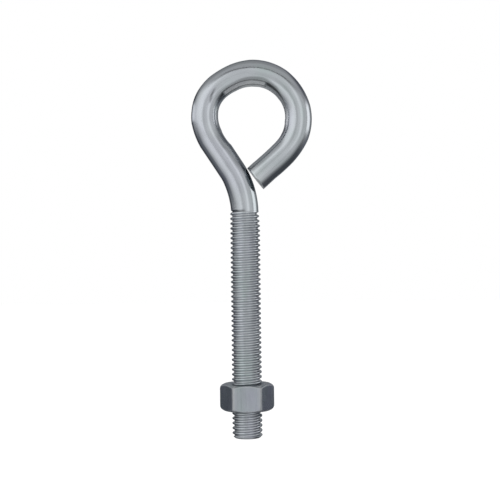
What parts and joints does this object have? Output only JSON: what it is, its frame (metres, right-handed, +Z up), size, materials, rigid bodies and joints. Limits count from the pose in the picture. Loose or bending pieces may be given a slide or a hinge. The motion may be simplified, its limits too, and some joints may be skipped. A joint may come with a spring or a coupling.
{
  "type": "eye bolt",
  "caption": "Bent-rod eye bolt: round steel rod turned into an open eye over a threaded shank, with a hexagon nut on the thread.",
  "frame": {"origin": "centre of the shank's flat tip, on the thread axis", "axes": "+Z up the shank towards the eye; the eye lies in the XZ plane with its cut free end on the +X side; +-Y square to the eye's plane"},
  "size_m": [0.0311, 0.0122, 0.0971],
  "materials": {
    "plated_rod": "bright zinc plating, smooth on the drawn rod and satin on the rolled thread",
    "plated_nut": "zinc plating over a cold-formed nut, slightly darker than the rod"
  },
  "bodies": {
    "bolt": {"eye_bolt": "plated_rod"},
    "nut": {"hex_nut": "plated_nut"}
  },
  "joints": [
    {"name": "nut_travel", "type": "slide", "parent": "bolt", "child": "nut", "axis": [0, 0, 1], "range_m": [-0.01125, 0.04375]}
  ]
}
